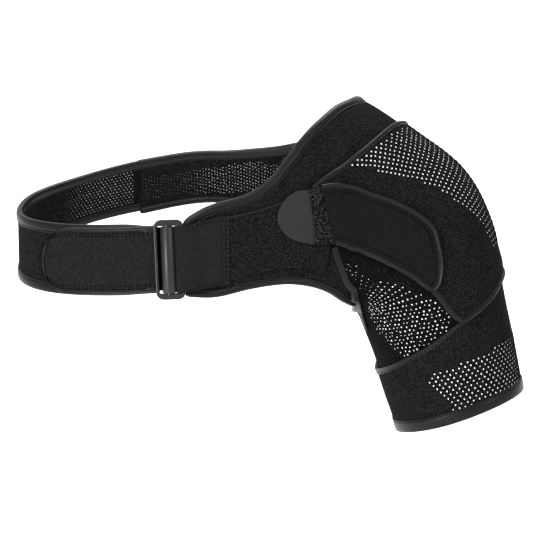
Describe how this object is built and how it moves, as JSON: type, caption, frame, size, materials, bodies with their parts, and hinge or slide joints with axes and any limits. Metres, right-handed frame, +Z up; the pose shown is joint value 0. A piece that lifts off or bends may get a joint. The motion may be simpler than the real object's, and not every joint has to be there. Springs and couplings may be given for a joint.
{
  "type": "shoulder brace",
  "caption": "Shoulder support with an arm sleeve, a padded compression flap and a chest strap closed by a roller buckle and a hook end, held in its worn form.",
  "frame": {"origin": "seat on top of the wearer's shoulder, on the inner face of the sleeve's cap", "axes": "+Z up, the wearer faces -Y, the arm hangs towards +X and the chest strap goes round the body towards -X"},
  "size_m": [0.4317, 0.2182, 0.2897],
  "materials": {
    "fleece": "looped, matt",
    "perforated_cloth": "perforated, matt",
    "binding": "satin tape",
    "smooth_cloth": "smooth knit",
    "plush": "plush loop tape",
    "webbing": "twill webbing",
    "plastic": "semi-gloss, moulded"
  },
  "bodies": {
    "root": {"shoulder_yoke": "fleece", "neck_binding": "binding", "arm_sleeve": "perforated_cloth", "underarm_binding": "binding", "arm_cuff": "fleece", "cuff_binding": "binding", "hem_binding": "binding", "chest_overlay": "fleece", "armhole_tape": "binding", "wrap_flap": "fleece", "flap_binding": "binding", "flap_patch": "smooth_cloth", "patch_binding": "binding", "plush_strip": "plush", "hook_tab": "smooth_cloth", "buckle": "plastic", "torso_strap": "fleece", "strap_top_binding": "binding", "strap_bottom_binding": "binding", "strap_end": "smooth_cloth", "strap_end_binding": "binding", "buckle_loop": "webbing", "strap_seam_tape": "binding"}
  },
  "joints": []
}
